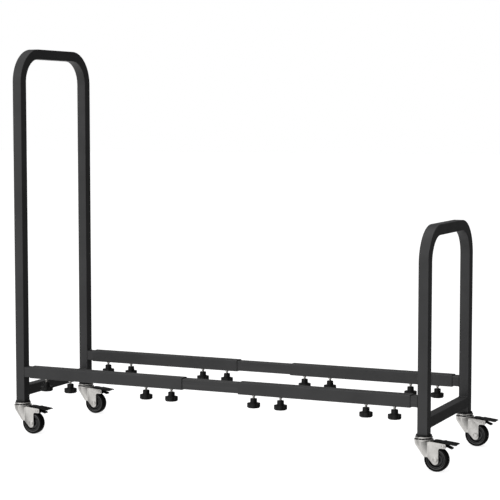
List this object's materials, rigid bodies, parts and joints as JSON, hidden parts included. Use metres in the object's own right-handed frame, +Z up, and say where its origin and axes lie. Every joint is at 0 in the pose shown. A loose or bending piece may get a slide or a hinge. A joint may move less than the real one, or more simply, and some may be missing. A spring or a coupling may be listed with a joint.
{
  "type": "rolling tyre storage rack",
  "caption": "Rolling rack of square steel tube with a tall and a short end frame, telescopic clamped rails for upright tyres, and braked swivel casters.",
  "frame": {"origin": "on the floor, under the centre of the whole rack's bounding box", "axes": "+X along the rails from the tall push frame to the short frame, +Y from the front rail to the rear rail, +Z up"},
  "size_m": [1.2124, 0.372, 1.0045],
  "materials": {
    "powder_coated_steel": "fine-textured satin black powder coat",
    "zinc_plated_steel": "bright zinc plated pressed steel",
    "bearing_steel": "polished steel balls",
    "knob_plastic": "moulded black plastic",
    "black_plastic": "moulded black nylon",
    "wheel_plastic": "moulded dark grey plastic",
    "wheel_rubber": "smooth black rubber"
  },
  "bodies": {
    "left_frame": {"left_push_frame": "powder_coated_steel", "left_crossbar": "powder_coated_steel", "left_rail_stubs": "powder_coated_steel", "left_leg_inserts": "black_plastic", "left_swivel_balls": "bearing_steel", "front_left_swivel_stem": "zinc_plated_steel", "rear_left_swivel_stem": "zinc_plated_steel"},
    "right_frame": {"right_end_frame": "powder_coated_steel", "right_crossbar": "powder_coated_steel", "right_rail_stubs": "powder_coated_steel", "right_leg_inserts": "black_plastic", "right_swivel_balls": "bearing_steel", "front_right_swivel_stem": "zinc_plated_steel", "rear_right_swivel_stem": "zinc_plated_steel"},
    "front_left_rail_sleeve": {"front_left_sleeve": "powder_coated_steel", "front_left_weld_nuts": "zinc_plated_steel"},
    "front_right_rail_sleeve": {"front_right_sleeve": "powder_coated_steel", "front_right_weld_nuts": "zinc_plated_steel"},
    "front_rail_middle": {"front_middle_tube": "powder_coated_steel"},
    "rear_left_rail_sleeve": {"rear_left_sleeve": "powder_coated_steel", "rear_left_weld_nuts": "zinc_plated_steel"},
    "rear_right_rail_sleeve": {"rear_right_sleeve": "powder_coated_steel", "rear_right_weld_nuts": "zinc_plated_steel"},
    "rear_rail_middle": {"rear_middle_tube": "powder_coated_steel"},
    "front_knob_1_turning": {"front_knob_1": "knob_plastic"},
    "front_knob_2_turning": {"front_knob_2": "knob_plastic"},
    "front_knob_3_turning": {"front_knob_3": "knob_plastic"},
    "front_knob_4_turning": {"front_knob_4": "knob_plastic"},
    "front_knob_5_turning": {"front_knob_5": "knob_plastic"},
    "front_knob_6_turning": {"front_knob_6": "knob_plastic"},
    "front_knob_7_turning": {"front_knob_7": "knob_plastic"},
    "front_knob_8_turning": {"front_knob_8": "knob_plastic"},
    "rear_knob_1_turning": {"rear_knob_1": "knob_plastic"},
    "rear_knob_2_turning": {"rear_knob_2": "knob_plastic"},
    "rear_knob_3_turning": {"rear_knob_3": "knob_plastic"},
    "rear_knob_4_turning": {"rear_knob_4": "knob_plastic"},
    "rear_knob_5_turning": {"rear_knob_5": "knob_plastic"},
    "rear_knob_6_turning": {"rear_knob_6": "knob_plastic"},
    "rear_knob_7_turning": {"rear_knob_7": "knob_plastic"},
    "rear_knob_8_turning": {"rear_knob_8": "knob_plastic"},
    "front_left_swivel": {"front_left_fork": "zinc_plated_steel", "front_left_axle": "zinc_plated_steel"},
    "front_left_wheel": {"front_left_wheel_hub": "wheel_plastic", "front_left_wheel_tyre": "wheel_rubber"},
    "front_left_brake": {"front_left_brake_pedal": "black_plastic"},
    "front_right_swivel": {"front_right_fork": "zinc_plated_steel", "front_right_axle": "zinc_plated_steel"},
    "front_right_wheel": {"front_right_wheel_hub": "wheel_plastic", "front_right_wheel_tyre": "wheel_rubber"},
    "front_right_brake": {"front_right_brake_pedal": "black_plastic"},
    "rear_left_swivel": {"rear_left_fork": "zinc_plated_steel", "rear_left_axle": "zinc_plated_steel"},
    "rear_left_wheel": {"rear_left_wheel_hub": "wheel_plastic", "rear_left_wheel_tyre": "wheel_rubber"},
    "rear_left_brake": {"rear_left_brake_pedal": "black_plastic"},
    "rear_right_swivel": {"rear_right_fork": "zinc_plated_steel", "rear_right_axle": "zinc_plated_steel"},
    "rear_right_wheel": {"rear_right_wheel_hub": "wheel_plastic", "rear_right_wheel_tyre": "wheel_rubber"},
    "rear_right_brake": {"rear_right_brake_pedal": "black_plastic"}
  },
  "joints": [
    {"name": "front_left_stub_slide", "type": "slide", "parent": "left_frame", "child": "front_left_rail_sleeve", "axis": [1, 0, 0], "range_m": [-0.0155, 0.1]},
    {"name": "front_left_middle_slide", "type": "slide", "parent": "front_left_rail_sleeve", "child": "front_rail_middle", "axis": [1, 0, 0], "range_m": [-0.077, 0.1]},
    {"name": "front_right_middle_slide", "type": "slide", "parent": "front_rail_middle", "child": "front_right_rail_sleeve", "axis": [1, 0, 0], "range_m": [-0.077, 0.1]},
    {"name": "front_right_stub_slide", "type": "slide", "parent": "front_right_rail_sleeve", "child": "right_frame", "axis": [1, 0, 0], "range_m": [-0.0155, 0.1]},
    {"name": "rear_left_stub_slide", "type": "slide", "parent": "left_frame", "child": "rear_left_rail_sleeve", "axis": [1, 0, 0], "range_m": [-0.0155, 0.1]},
    {"name": "rear_left_middle_slide", "type": "slide", "parent": "rear_left_rail_sleeve", "child": "rear_rail_middle", "axis": [1, 0, 0], "range_m": [-0.077, 0.1]},
    {"name": "rear_right_middle_slide", "type": "slide", "parent": "rear_rail_middle", "child": "rear_right_rail_sleeve", "axis": [1, 0, 0], "range_m": [-0.077, 0.1]},
    {"name": "front_knob_1_turn", "type": "hinge", "parent": "front_left_rail_sleeve", "child": "front_knob_1_turning", "pos_m": [-0.51025, -0.163, 0.1325], "axis": [0, 0, -1], "range_deg": [0, 720]},
    {"name": "front_knob_2_turn", "type": "hinge", "parent": "front_left_rail_sleeve", "child": "front_knob_2_turning", "pos_m": [-0.43825, -0.163, 0.1325], "axis": [0, 0, -1], "range_deg": [0, 720]},
    {"name": "front_knob_3_turn", "type": "hinge", "parent": "front_left_rail_sleeve", "child": "front_knob_3_turning", "pos_m": [-0.21625, -0.163, 0.1325], "axis": [0, 0, -1], "range_deg": [0, 720]},
    {"name": "front_knob_4_turn", "type": "hinge", "parent": "front_left_rail_sleeve", "child": "front_knob_4_turning", "pos_m": [-0.14425, -0.163, 0.1325], "axis": [0, 0, -1], "range_deg": [0, 720]},
    {"name": "front_knob_5_turn", "type": "hinge", "parent": "front_right_rail_sleeve", "child": "front_knob_5_turning", "pos_m": [0.08275, -0.163, 0.1325], "axis": [0, 0, -1], "range_deg": [0, 720]},
    {"name": "front_knob_6_turn", "type": "hinge", "parent": "front_right_rail_sleeve", "child": "front_knob_6_turning", "pos_m": [0.15475, -0.163, 0.1325], "axis": [0, 0, -1], "range_deg": [0, 720]},
    {"name": "front_knob_7_turn", "type": "hinge", "parent": "front_right_rail_sleeve", "child": "front_knob_7_turning", "pos_m": [0.37675, -0.163, 0.1325], "axis": [0, 0, -1], "range_deg": [0, 720]},
    {"name": "front_knob_8_turn", "type": "hinge", "parent": "front_right_rail_sleeve", "child": "front_knob_8_turning", "pos_m": [0.44875, -0.163, 0.1325], "axis": [0, 0, -1], "range_deg": [0, 720]},
    {"name": "rear_knob_1_turn", "type": "hinge", "parent": "rear_left_rail_sleeve", "child": "rear_knob_1_turning", "pos_m": [-0.51025, 0.163, 0.1325], "axis": [0, 0, -1], "range_deg": [0, 720]},
    {"name": "rear_knob_2_turn", "type": "hinge", "parent": "rear_left_rail_sleeve", "child": "rear_knob_2_turning", "pos_m": [-0.43825, 0.163, 0.1325], "axis": [0, 0, -1], "range_deg": [0, 720]},
    {"name": "rear_knob_3_turn", "type": "hinge", "parent": "rear_left_rail_sleeve", "child": "rear_knob_3_turning", "pos_m": [-0.21625, 0.163, 0.1325], "axis": [0, 0, -1], "range_deg": [0, 720]},
    {"name": "rear_knob_4_turn", "type": "hinge", "parent": "rear_left_rail_sleeve", "child": "rear_knob_4_turning", "pos_m": [-0.14425, 0.163, 0.1325], "axis": [0, 0, -1], "range_deg": [0, 720]},
    {"name": "rear_knob_5_turn", "type": "hinge", "parent": "rear_right_rail_sleeve", "child": "rear_knob_5_turning", "pos_m": [0.08275, 0.163, 0.1325], "axis": [0, 0, -1], "range_deg": [0, 720]},
    {"name": "rear_knob_6_turn", "type": "hinge", "parent": "rear_right_rail_sleeve", "child": "rear_knob_6_turning", "pos_m": [0.15475, 0.163, 0.1325], "axis": [0, 0, -1], "range_deg": [0, 720]},
    {"name": "rear_knob_7_turn", "type": "hinge", "parent": "rear_right_rail_sleeve", "child": "rear_knob_7_turning", "pos_m": [0.37675, 0.163, 0.1325], "axis": [0, 0, -1], "range_deg": [0, 720]},
    {"name": "rear_knob_8_turn", "type": "hinge", "parent": "rear_right_rail_sleeve", "child": "rear_knob_8_turning", "pos_m": [0.44875, 0.163, 0.1325], "axis": [0, 0, -1], "range_deg": [0, 720]},
    {"name": "front_left_swivel_turn", "type": "hinge", "parent": "left_frame", "child": "front_left_swivel", "pos_m": [-0.58325, -0.163, 0.074], "axis": [0, 0, 1], "continuous": true},
    {"name": "front_left_wheel_roll", "type": "hinge", "parent": "front_left_swivel", "child": "front_left_wheel", "pos_m": [-0.55075, -0.163, 0.0295], "axis": [0, 1, 0], "continuous": true},
    {"name": "front_left_brake_press", "type": "hinge", "parent": "front_left_swivel", "child": "front_left_brake", "pos_m": [-0.53225, -0.163, 0.063], "axis": [0, 1, 0], "range_deg": [0, 16]},
    {"name": "front_right_swivel_turn", "type": "hinge", "parent": "right_frame", "child": "front_right_swivel", "pos_m": [0.52175, -0.163, 0.074], "axis": [0, 0, 1], "continuous": true},
    {"name": "front_right_wheel_roll", "type": "hinge", "parent": "front_right_swivel", "child": "front_right_wheel", "pos_m": [0.55425, -0.163, 0.0295], "axis": [0, 1, 0], "continuous": true},
    {"name": "front_right_brake_press", "type": "hinge", "parent": "front_right_swivel", "child": "front_right_brake", "pos_m": [0.57275, -0.163, 0.063], "axis": [0, 1, 0], "range_deg": [0, 16]},
    {"name": "rear_left_swivel_turn", "type": "hinge", "parent": "left_frame", "child": "rear_left_swivel", "pos_m": [-0.58325, 0.163, 0.074], "axis": [0, 0, 1], "continuous": true},
    {"name": "rear_left_wheel_roll", "type": "hinge", "parent": "rear_left_swivel", "child": "rear_left_wheel", "pos_m": [-0.55075, 0.163, 0.0295], "axis": [0, 1, 0], "continuous": true},
    {"name": "rear_left_brake_press", "type": "hinge", "parent": "rear_left_swivel", "child": "rear_left_brake", "pos_m": [-0.53225, 0.163, 0.063], "axis": [0, 1, 0], "range_deg": [0, 16]},
    {"name": "rear_right_swivel_turn", "type": "hinge", "parent": "right_frame", "child": "rear_right_swivel", "pos_m": [0.52175, 0.163, 0.074], "axis": [0, 0, 1], "continuous": true},
    {"name": "rear_right_wheel_roll", "type": "hinge", "parent": "rear_right_swivel", "child": "rear_right_wheel", "pos_m": [0.55425, 0.163, 0.0295], "axis": [0, 1, 0], "continuous": true},
    {"name": "rear_right_brake_press", "type": "hinge", "parent": "rear_right_swivel", "child": "rear_right_brake", "pos_m": [0.57275, 0.163, 0.063], "axis": [0, 1, 0], "range_deg": [0, 16]}
  ],
  "couplings": [
    {"joint": "rear_left_stub_slide", "follows": "front_left_stub_slide", "ratio": 1},
    {"joint": "rear_left_middle_slide", "follows": "front_left_middle_slide", "ratio": 1},
    {"joint": "rear_right_middle_slide", "follows": "front_right_middle_slide", "ratio": 1}
  ]
}
